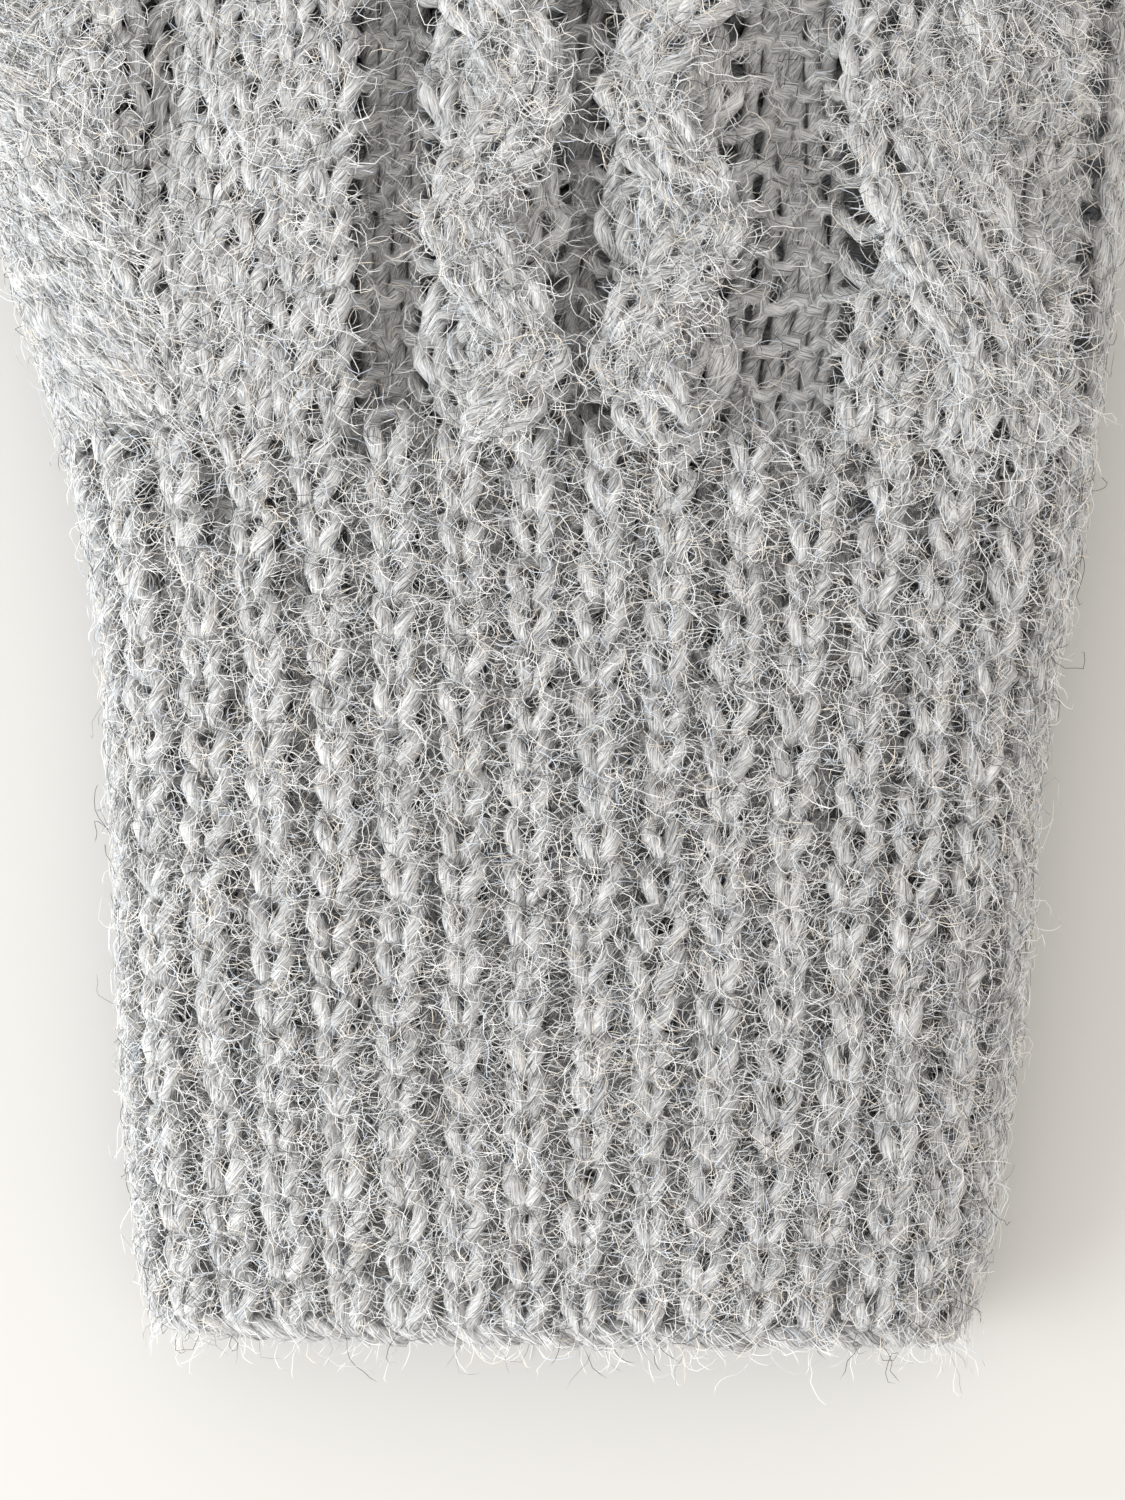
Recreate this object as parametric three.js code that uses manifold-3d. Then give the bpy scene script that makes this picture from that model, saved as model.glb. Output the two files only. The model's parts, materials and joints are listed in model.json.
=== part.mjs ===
// A right-hand knitted mitten with a ribbed cuff and a cabled back, lying flat with its palm down.
// Millimetres. +X is the little-finger side, +Y runs from the cuff's edge to the fingertips, +Z is up.
// The knitted wall is one closed tube in use. Here it is divided where a knitter counts a new section.
import * as THREE from "three";
import { mergeVertices } from "three/addons/utils/BufferGeometryUtils.js";
import Module from "manifold-3d";

const wasm = await Module();
wasm.setup();

// Driving dimensions
const LENGTH = 272; // cast-on edge to fingertip
const WALL = 5; // thickness of the knitted fabric
const JOIN_GAP = 0.3; // between two neighbouring sections
const YARN = 2.4; // thickness of one strand of yarn

// Where each section ends, measured from the cast-on edge
const EDGE_END = 5;
const CUFF_END = 71;
const WRIST_END = 91;
const HAND_END = 182;
const KNUCKLE_END = 206;
const FINGER_END = 238;

// The thumb: its axis leaves the hand at this place and this angle from +Y
const THUMB_X = -46;
const THUMB_Y = 120;
const THUMB_ANGLE = THREE.MathUtils.degToRad(24);
const THUMB_LENGTH = 102;
const THUMB_START = 8; // inside the hand
const THUMB_ROOT_START = 36;
const THUMB_ROOT_END = 52;
const THUMB_CROWN_START = 82;

// Outlines as [distance along, value] stations, joined by smooth curves
const RIGHT_EDGE = [
  [0, 42], [9, 43.9], [33, 46.8], [60, 48.6], [75, 51], [99, 54], [124, 56], [182, 57], [206, 55],
  [238, 47.5],
];
const LEFT_EDGE = [
  [0, 42], [9, 43.9], [28, 45.6], [64, 48], [82, 50.5], [100, 56.4], [112, 60.2], [126, 63], [138, 59],
  [150, 51.5], [162, 46.5], [182, 45], [206, 43.5], [238, 38],
];
const THICKNESS = [[0, 18], [20, 21], [70, 22], [91, 24], [130, 27], [182, 27], [206, 25], [238, 22]];
const THUMB_WIDTH = [[0, 12], [15, 15], [34, 17.5], [60, 17], [82, 15.5]];
const THUMB_THICKNESS = [[0, 21], [34, 23], [60, 22], [82, 20]];

const SECTION_POWER = 2.5; // 2 is an ellipse, more is squarer at the sides
const CENTRE_SHARE = 0.45; // height of a section's widest point, as a share of its thickness
const RISE_SHARE = 1 - CENTRE_SHARE; // half-height of the full curve, which the floor cuts flat
const ROUND_STEPS = 32;

// A Catmull-Rom curve through the stations, read at one distance.
function along(stations, at) {
  const last = stations.length - 1;
  let i = 0;
  while (i < last - 1 && at > stations[i + 1][0]) i += 1;
  const [x0, v0] = stations[i];
  const [x1, v1] = stations[i + 1];
  const before = stations[Math.max(i - 1, 0)];
  const after = stations[Math.min(i + 2, last)];
  const slope0 = (v1 - before[1]) / (x1 - before[0]);
  const slope1 = (after[1] - v0) / (after[0] - x0);
  const t = THREE.MathUtils.clamp((at - x0) / (x1 - x0), 0, 1);
  const d = x1 - x0;
  return (
    v0 * (1 + 2 * t) * (1 - t) ** 2 +
    slope0 * d * t * (1 - t) ** 2 +
    v1 * t * t * (3 - 2 * t) +
    slope1 * d * t * t * (t - 1)
  );
}

// How far a rounded end has closed: 1 where it starts, 0 at its tip.
function closing(at, start, end) {
  const share = THREE.MathUtils.clamp((at - start) / (end - start), 0, 1);
  return Math.sqrt(1 - share * share);
}

// A section of the hand or of the thumb at a distance along it: its centre, half-width and thickness.
function handSection(y) {
  const capped = Math.min(y, FINGER_END);
  const right = along(RIGHT_EDGE, capped);
  const left = along(LEFT_EDGE, capped);
  const shut = closing(y, FINGER_END, LENGTH);
  return {
    centre: (right - left) / 2,
    half: ((right + left) / 2) * shut,
    thick: along(THICKNESS, capped) * shut,
    full: along(THICKNESS, capped),
  };
}

function thumbSection(y) {
  const capped = Math.min(y, THUMB_CROWN_START);
  const shut = closing(y, THUMB_CROWN_START, THUMB_LENGTH);
  return {
    centre: 0,
    half: along(THUMB_WIDTH, capped) * shut,
    thick: along(THUMB_THICKNESS, capped) * shut,
    full: along(THUMB_THICKNESS, capped),
  };
}

const squared = (v) => Math.sign(v) * Math.abs(v) ** (2 / SECTION_POWER);

// The point at an angle round a section, moved in from its outside by inset.
function onSection({ centre, half, thick, full }, angle, inset) {
  const wide = Math.max(half - inset, 0);
  const high = Math.max(thick / 2 - inset, 0) * 2 * RISE_SHARE;
  const middle = full * CENTRE_SHARE;
  const floor = Math.min(middle - thick * CENTRE_SHARE + inset, middle);
  const z = middle + high * squared(Math.sin(angle));
  return { x: centre + wide * squared(Math.cos(angle)), z: Math.max(z, floor) };
}

// A lathe-turned form whose rings are moved on to the sections of the hand or thumb.
// Its radius is 2 on the outside of the wall and 1 on the inside.
function reshaped(profile, section, wall) {
  const lathe = new THREE.LatheGeometry(
    profile.map(([radius, y]) => new THREE.Vector2(radius, y)),
    ROUND_STEPS,
  );
  const place = lathe.getAttribute("position");
  for (let i = 0; i < place.count; i += 1) {
    const radius = Math.hypot(place.getX(i), place.getZ(i));
    const y = place.getY(i);
    const here = section(y);
    if (radius < 0.5) {
      place.setXYZ(i, here.centre, y, here.full * CENTRE_SHARE);
      continue;
    }
    const angle = Math.atan2(place.getZ(i), place.getX(i));
    const point = onSection(here, angle, radius > 1.5 ? 0 : wall);
    place.setXYZ(i, point.x, y, point.z);
  }
  return lathe;
}

// Stations from one distance to another, about a step apart.
function stations(from, to, step) {
  const count = Math.max(1, Math.round((to - from) / step));
  return Array.from({ length: count + 1 }, (_, i) => from + ((to - from) * i) / count);
}

// An open tube: up the outside, down the inside, and closed on itself.
function openTube(section, from, to, step) {
  const rings = stations(from, to, step);
  const outside = rings.map((y) => [2, y]);
  const inside = rings.toReversed().map((y) => [1, y]);
  return reshaped([...outside, ...inside, [2, from]], section, WALL);
}

// A cap: a tube whose far end closes to a point, with the same wall all round.
function closedCap(section, from, tip, step) {
  const rounded = (end) =>
    stations(0, 1, 1 / Math.round((end - from) / step))
      .slice(0, -1)
      .map((t) => from + (end - from) * Math.sin((t * Math.PI) / 2));
  const outside = rounded(tip).map((y) => [2, y]);
  const inside = rounded(tip - WALL).toReversed().map((y) => [1, y]);
  const profile = [[0, tip], ...outside.toReversed(), ...inside.toReversed(), [0, tip - WALL]];
  return reshaped(profile, section, WALL);
}

// A filled form with the outside of the wall moved in by inset.
function filled(section, from, to, step, inset) {
  const rings = stations(from, to, step).map((y) => [inset === 0 ? 2 : 1, y]);
  return reshaped([[0, to], ...rings.toReversed(), [0, from]], section, inset);
}

// Solids for joining and cutting
function solid(geometry, matrix = new THREE.Matrix4()) {
  const bare = geometry.clone().applyMatrix4(matrix);
  bare.deleteAttribute("normal");
  bare.deleteAttribute("uv");
  const merged = mergeVertices(bare, 1e-4);
  const kept = [];
  const corners = merged.index.array;
  for (let i = 0; i < corners.length; i += 3) {
    const [a, b, c] = corners.slice(i, i + 3);
    if (a !== b && b !== c && c !== a) kept.push(a, b, c);
  }
  const mesh = (order) =>
    new wasm.Manifold(
      new wasm.Mesh({ numProp: 3, vertProperties: merged.getAttribute("position").array, triVerts: order }),
    );
  const made = mesh(new Uint32Array(kept));
  return made.volume() > 0 ? made : mesh(new Uint32Array(kept).reverse());
}

function geometryOf(manifold) {
  const mesh = manifold.getMesh();
  return new THREE.BufferGeometry()
    .setAttribute("position", new THREE.BufferAttribute(mesh.vertProperties, 3))
    .setIndex(new THREE.BufferAttribute(mesh.triVerts, 1));
}

// A block between two corners.
function block(low, high) {
  const size = high.map((v, i) => v - low[i]);
  const box = new THREE.BoxGeometry(...size);
  return solid(box, new THREE.Matrix4().makeTranslation(...low.map((v, i) => v + size[i] / 2)));
}

// An upright wall of any outline, tall enough to cut the whole mitten.
function upright(points) {
  const outline = new THREE.Shape(points.map(([x, y]) => new THREE.Vector2(x, y)));
  const prism = new THREE.ExtrudeGeometry(outline, { depth: 120, bevelEnabled: false });
  return solid(prism, new THREE.Matrix4().makeTranslation(0, 0, -60));
}

// An outline with each of its edges moved out by the same distance.
function grown(points, by) {
  const corner = (i) => points[(i + points.length) % points.length];
  const outward = ([x0, y0], [x1, y1]) => new THREE.Vector2(y1 - y0, x0 - x1).normalize();
  return points.map((point, i) => {
    const before = outward(corner(i - 1), point);
    const after = outward(point, corner(i + 1));
    const reach = by / (1 + before.dot(after));
    return [point[0] + (before.x + after.x) * reach, point[1] + (before.y + after.y) * reach];
  });
}

// Marled greys of the yarn
const MARL = 0xb0b0b3;
const PALE = 0xc4c4c6;
const DARK = 0x8f8f92;

const mitten = new THREE.Group();

function addNode(name, manifold, colour) {
  const material = new THREE.MeshStandardMaterial({ color: colour, roughness: 0.95, metalness: 0 });
  const mesh = new THREE.Mesh(geometryOf(manifold), material);
  mesh.name = name;
  mitten.add(mesh);
}

const half = JOIN_GAP / 2;
const WIDE = 200;

// Cuff
addNode("cast_on_edge", solid(openTube(handSection, 0, EDGE_END - half, 2.5)), PALE);
addNode("ribbed_cuff", solid(openTube(handSection, EDGE_END + half, CUFF_END - half, 11)), MARL);
addNode("wrist_rows", solid(openTube(handSection, CUFF_END + half, WRIST_END - half, 7)), MARL);

// The thumb's forms are turned and moved on to the hand's side.
const thumbPlace = new THREE.Matrix4()
  .makeTranslation(THUMB_X, THUMB_Y, 0)
  .multiply(new THREE.Matrix4().makeRotationZ(THUMB_ANGLE));
const PAST_ROOT = THUMB_ROOT_START + 6;
const thumbHollow = solid(filled(thumbSection, THUMB_START + WALL, PAST_ROOT, 6, WALL), thumbPlace);
const thumbStart = solid(filled(thumbSection, THUMB_START, THUMB_ROOT_START - half, 6, 0), thumbPlace);

// Hand: one tube, with the start of the thumb standing out of its side
const handOuter = solid(filled(handSection, WRIST_END + half, HAND_END - half, 8, 0));
const handInner = solid(filled(handSection, WRIST_END - WALL, HAND_END + WALL, 8, WALL));
const handAndThumb = handOuter.add(thumbStart).subtract(handInner).subtract(thumbHollow);

// The gusset is the wedge of added stitches that grows into the thumb. Its corners, in order round it:
const GUSSET = [[-100, 162], [-100, 136], [-70, 134], [-58, 125], [-41, 101], [-43.5, 162]];
addNode("thumb_gusset", handAndThumb.intersect(upright(GUSSET)), DARK);
const handOnly = handAndThumb.subtract(upright(grown(GUSSET, JOIN_GAP)));

// Palm and back meet along the two sides, at the height of the widest point.
const SPLIT = 12;
const under = block([-WIDE, 0, -1], [WIDE, LENGTH, SPLIT - half]);
const above = block([-WIDE, 0, SPLIT + half], [WIDE, LENGTH, WIDE]);
addNode("palm", handOnly.intersect(under), MARL);
addNode("hand_back", handOnly.intersect(above), MARL);

// Knuckle rows, which crease when the fingers bend, then the finger tube and its crown
addNode("knuckle_rows", solid(openTube(handSection, HAND_END + half, KNUCKLE_END - half, 8)), MARL);
const fingerTube = solid(openTube(handSection, KNUCKLE_END + half, FINGER_END - half, 8));
addNode("finger_palm", fingerTube.intersect(under), MARL);
addNode("finger_back", fingerTube.intersect(above), MARL);
addNode("fingertip_crown", solid(closedCap(handSection, FINGER_END + half, LENGTH, 4)), PALE);

// Cables: ropes of crossed stitches that stand on the back
const CABLE_RISE = 3.2;
const CABLE_LIFT = JOIN_GAP + 0.5; // clears the flat facets of the back below
const CABLE_CLEAR = 1.5; // from a cable's end to the end of its section
const CABLES = [
  { name: "cable_centre_left", centre: -8.5, width: 13 },
  { name: "cable_centre_right", centre: 8.5, width: 13 },
  { name: "cable_side", centre: 37.5, width: 24 },
];

// Height of the back's outside at a place, found on its section curve.
function backHeight(x, y) {
  const here = handSection(y);
  const reach = Math.min(Math.abs(x - here.centre) / here.half, 1);
  const cosine = reach ** (SECTION_POWER / 2);
  const sine = Math.sqrt(1 - cosine * cosine);
  return onSection(here, Math.atan2(sine, cosine), 0).z;
}

// A ridge with a rounded top and an underside that follows the back.
function cable(centre, width, from, to) {
  const across = 8;
  const turns = stations(0, Math.PI, Math.PI / across);
  const top = turns.map((turn) => new THREE.Vector2(Math.cos(turn), Math.sin(turn)));
  const underside = top.slice(1, -1).toReversed().map((p) => new THREE.Vector2(p.x, 0));
  const shape = new THREE.Shape([...top, ...underside]);
  const steps = Math.round((to - from) / 8);
  const rope = new THREE.ExtrudeGeometry(shape, { depth: 1, steps, bevelEnabled: false });
  const place = rope.getAttribute("position");
  for (let i = 0; i < place.count; i += 1) {
    const y = to + (from - to) * place.getZ(i);
    const drawnIn = Math.min(along(RIGHT_EDGE, y) / along(RIGHT_EDGE, HAND_END), 1);
    const x = (centre + (place.getX(i) * width) / 2) * (y > HAND_END ? drawnIn : 1);
    place.setXYZ(i, x, y, backHeight(x, y) + CABLE_LIFT + place.getY(i) * CABLE_RISE);
  }
  return solid(rope);
}

CABLES.forEach(({ name, centre, width }) => {
  const lower = cable(centre, width, WRIST_END + CABLE_CLEAR, HAND_END - CABLE_CLEAR);
  addNode(`${name}_lower`, lower, PALE);
  const upper = cable(centre, width, KNUCKLE_END + CABLE_CLEAR, FINGER_END - CABLE_CLEAR);
  addNode(`${name}_upper`, upper, PALE);
});

// Thumb: the rows that crease at its root, its tube and its crown
const ROOT_CLEARANCE = 1; // between the root rows and the side of the hand
const handClearance = solid(filled(handSection, WRIST_END, HAND_END, 8, -ROOT_CLEARANCE));
const rootTube = openTube(thumbSection, THUMB_ROOT_START + half, THUMB_ROOT_END - half, 8);
addNode("thumb_root_rows", solid(rootTube, thumbPlace).subtract(handClearance), MARL);
const thumbTube = openTube(thumbSection, THUMB_ROOT_END + half, THUMB_CROWN_START - half, 9);
addNode("thumb_tube", solid(thumbTube, thumbPlace), MARL);
const thumbCrown = closedCap(thumbSection, THUMB_CROWN_START + half, THUMB_LENGTH, 4);
addNode("thumb_crown", solid(thumbCrown, thumbPlace), PALE);

// The last stitches of each crown are drawn together by a ring of yarn, just inside the tip.
const RING_RADIUS = YARN * 1.1;
const RING_BACK = WALL + 6; // from the tip to the ring's middle

function drawnRing(formSection, tip) {
  const ring = new THREE.TorusGeometry(RING_RADIUS, YARN / 2, 6, 12);
  const here = formSection(tip - RING_BACK);
  ring.translate(here.centre, tip - RING_BACK, here.full * CENTRE_SHARE);
  return ring;
}

addNode("fingertip_gather", solid(drawnRing(handSection, LENGTH)), PALE);
addNode("thumb_gather", solid(drawnRing(thumbSection, THUMB_LENGTH), thumbPlace), PALE);

// The ends of the yarn are woven in along the inside of the fabric, just clear of it here.
function wovenTail(points) {
  const path = new THREE.CatmullRomCurve3(points.map(([x, y, z]) => new THREE.Vector3(x, y, z)));
  const strand = new THREE.Shape();
  const SIDES = 6;
  for (let i = 0; i < SIDES; i += 1) {
    const turn = (2 * Math.PI * i) / SIDES;
    strand.lineTo(Math.cos(turn) * (YARN / 2), Math.sin(turn) * (YARN / 2));
  }
  return new THREE.ExtrudeGeometry(strand, { extrudePath: path, steps: 12, bevelEnabled: false });
}

const ON_PALM = WALL + YARN / 2 + JOIN_GAP; // height of a tail that lies on the inside of the palm
const tails = {
  cast_on_tail: { place: new THREE.Matrix4(), route: [[28, 9], [29, 24], [28, 40], [29, 58]] },
  fingertip_tail: { place: new THREE.Matrix4(), route: [[31, 235], [32, 227], [31, 218], [32, 209]] },
  thumb_tail: { place: thumbPlace, route: [[6.5, 80], [7.5, 72], [6.5, 64], [7.5, 55]] },
};
Object.entries(tails).forEach(([name, { place, route }]) => {
  const strand = wovenTail(route.map(([x, y]) => [x, y, ON_PALM]));
  addNode(name, solid(strand, place), MARL);
});

// The origin is the middle of the underside of everything above.
const bounds = new THREE.Box3().setFromObject(mitten);
const middle = bounds.getCenter(new THREE.Vector3());
mitten.position.set(-middle.x, -middle.y, -bounds.min.z);

export default mitten;
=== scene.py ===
import functools
import json
import math
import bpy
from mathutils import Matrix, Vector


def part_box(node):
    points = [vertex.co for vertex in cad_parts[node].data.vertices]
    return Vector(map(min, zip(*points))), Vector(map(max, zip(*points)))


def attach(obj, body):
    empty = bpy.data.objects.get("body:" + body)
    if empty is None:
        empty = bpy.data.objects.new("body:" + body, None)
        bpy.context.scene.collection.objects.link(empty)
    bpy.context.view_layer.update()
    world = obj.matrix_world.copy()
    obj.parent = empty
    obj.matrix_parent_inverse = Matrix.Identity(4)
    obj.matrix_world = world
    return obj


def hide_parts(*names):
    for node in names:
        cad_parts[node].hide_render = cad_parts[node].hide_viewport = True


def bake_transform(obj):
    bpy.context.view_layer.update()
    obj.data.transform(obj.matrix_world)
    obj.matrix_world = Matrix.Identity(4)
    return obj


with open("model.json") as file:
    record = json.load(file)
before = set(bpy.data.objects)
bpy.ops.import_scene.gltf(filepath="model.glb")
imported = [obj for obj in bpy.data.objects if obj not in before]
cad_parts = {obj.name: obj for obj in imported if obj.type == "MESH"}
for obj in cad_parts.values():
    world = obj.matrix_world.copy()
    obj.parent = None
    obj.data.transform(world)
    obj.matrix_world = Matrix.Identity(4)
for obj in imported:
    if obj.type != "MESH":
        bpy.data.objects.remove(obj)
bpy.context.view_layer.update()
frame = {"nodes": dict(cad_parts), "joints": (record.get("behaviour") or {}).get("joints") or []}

from types import SimpleNamespace

import bpy
import numpy as np
from bpy.props import FloatProperty, FloatVectorProperty, IntProperty, PointerProperty
from mathutils import Vector
from mathutils.bvhtree import BVHTree

bl_info = {
    "name": "Knitted mitten",
    "version": (1, 0, 0),
    "blender": (4, 5, 0),
    "location": "View3D > Sidebar > Mitten",
    "description": "Knits a cabled mitten, loop by loop, round its CAD frame",
    "category": "Add Mesh",
}

MM = 0.001
TAU = 2 * math.pi

# The mitten's own millimetres start on its axis, at the cast-on edge and on the table.
EDGE_LOW, EDGE_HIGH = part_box("cast_on_edge")
ORIGIN = np.array([(EDGE_LOW.x + EDGE_HIGH.x) / 2, EDGE_LOW.y, 0.0]) / MM


def corners(node):
    """Lowest and highest corner of a CAD node, in the mitten's millimetres."""
    low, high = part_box(node)
    return np.array(low) / MM - ORIGIN, np.array(high) / MM - ORIGIN


def to_frame(points):
    """Turns the mitten's millimetres into the frame's metres."""
    return (np.asarray(points) + ORIGIN) * MM


def node_points(names):
    """Corners and faces of some CAD nodes together, in the mitten's millimetres."""
    points = []
    faces = []
    for name in names:
        mesh = frame["nodes"][name].data
        first = len(points)
        points += [np.array(vertex.co) / MM - ORIGIN for vertex in mesh.vertices]
        faces += [[first + i for i in polygon.vertices] for polygon in mesh.polygons]
    return np.array(points), faces


# Ends of the sections, from the cast-on edge
EDGE_END = corners("cast_on_edge")[1][1]
CUFF_END = corners("ribbed_cuff")[1][1]
WRIST_END = corners("wrist_rows")[1][1]
HAND_END = corners("knuckle_rows")[0][1]
KNUCKLE_END = corners("finger_back")[0][1]
FINGER_END = corners("fingertip_crown")[0][1]
TIP = corners("fingertip_crown")[1][1]
GUSSET_START = corners("thumb_gusset")[0][1]
THUMB_JOINT = next(joint for joint in frame["joints"] if joint["name"] == "thumb_swing")
FORK = THUMB_JOINT["pos_m"][1] / MM - ORIGIN[1]


# ---------------------------------------------------------------- settings


class MittenYarn(bpy.types.PropertyGroup):
    """The yarn and the way it is knitted."""

    row_height: FloatProperty(
        name="Row height", description="From one row to the next", default=0.00425,
        unit="LENGTH", subtype="DISTANCE",
    )
    radius: FloatProperty(
        name="Yarn radius", description="Half the thickness of the plump yarn", default=0.00084,
        unit="LENGTH", subtype="DISTANCE",
    )
    depth: FloatProperty(
        name="Loop depth", description="How far a loop swings to the front and back", default=0.00085,
        unit="LENGTH", subtype="DISTANCE",
    )
    reach: FloatProperty(
        name="Loop reach", description="Half the height of a loop", default=0.0029,
        unit="LENGTH", subtype="DISTANCE",
    )
    twist: FloatProperty(
        name="Ply twist", description="Length of yarn in one turn of its plies", default=0.011,
        unit="LENGTH", subtype="DISTANCE",
    )
    rib_pairs: IntProperty(
        name="Rib pairs", description="Knit and purl pairs round the cuff", default=32, min=8,
    )


class MittenColours(bpy.types.PropertyGroup):
    """The marled greys of the wool."""

    dark: FloatVectorProperty(
        name="Dark fibre", description="Darkest fibres in the marl", default=(0.055, 0.055, 0.06),
        subtype="COLOR", min=0, max=1,
    )
    middle: FloatVectorProperty(
        name="Middle fibre", description="Most of the wool", default=(0.325, 0.33, 0.345),
        subtype="COLOR", min=0, max=1,
    )
    light: FloatVectorProperty(
        name="Light fibre", description="Pale fibres in the marl", default=(0.595, 0.602, 0.62),
        subtype="COLOR", min=0, max=1,
    )
    white: FloatVectorProperty(
        name="White fibre", description="Undyed fibres", default=(0.90, 0.905, 0.91),
        subtype="COLOR", min=0, max=1,
    )


class MittenFuzz(bpy.types.PropertyGroup):
    """The haze of loose fibres."""

    cling: FloatProperty(name="Cling", description="Fibres that lie along the yarn", default=14, min=0)
    nap: FloatProperty(name="Nap", description="Short fibres to each stitch", default=44, min=0)
    strays: FloatProperty(name="Strays", description="Long fibres to each stitch", default=5, min=0)
    radius: FloatProperty(
        name="Fibre radius", description="Half the thickness of one fibre", default=0.000036,
        unit="LENGTH", subtype="DISTANCE",
    )


class MittenStage(bpy.types.PropertyGroup):
    """The table, the light and the camera."""

    table: FloatVectorProperty(
        name="Table", description="Colour of the pale table", default=(0.605, 0.602, 0.596),
        subtype="COLOR", min=0, max=1,
    )
    key: FloatProperty(
        name="Key light", description="Power of the soft light from the left", default=14.8, unit="POWER",
    )
    room: FloatProperty(name="Room light", description="Strength of the light all round", default=1.17)
    lens: FloatProperty(
        name="Lens", description="Focal length of the camera", default=85.0, unit="CAMERA",
    )


# ---------------------------------------------------------------- the shape that the fabric takes

HAND_WALL = [
    "cast_on_edge", "ribbed_cuff", "wrist_rows", "palm", "hand_back", "thumb_gusset", "knuckle_rows",
    "finger_palm", "finger_back", "fingertip_crown",
]
THUMB_WALL = ["thumb_root_rows", "thumb_tube", "thumb_crown"]
INSET = 2.1  # from the outside of the CAD wall to the middle of the knitted fabric


def normalized(vectors):
    """The vectors at unit length."""
    return vectors / (np.linalg.norm(vectors, axis=-1, keepdims=True) + 1e-12)


def smooth_step(value, low, high):
    """Rises gently from 0 at low to 1 at high."""
    share = np.clip((value - low) / (high - low), 0, 1)
    return share * share * (3 - 2 * share)


def soften(rows, sigma, mode):
    """Blurs a grid along its first axis: mode is wrap for a closed one and edge for an open one."""
    reach = int(math.ceil(3 * sigma))
    weights = np.exp(-0.5 * (np.arange(-reach, reach + 1) / sigma) ** 2)
    weights /= weights.sum()
    padded = np.pad(rows, [(reach, reach)] + [(0, 0)] * (rows.ndim - 1), mode=mode)
    return sum(w * padded[i : i + len(rows)] for i, w in enumerate(weights))


def lengths_along(points):
    """How far along a path each of its points is."""
    return np.concatenate([[0], np.cumsum(np.linalg.norm(np.diff(points, axis=0), axis=-1))])


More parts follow.
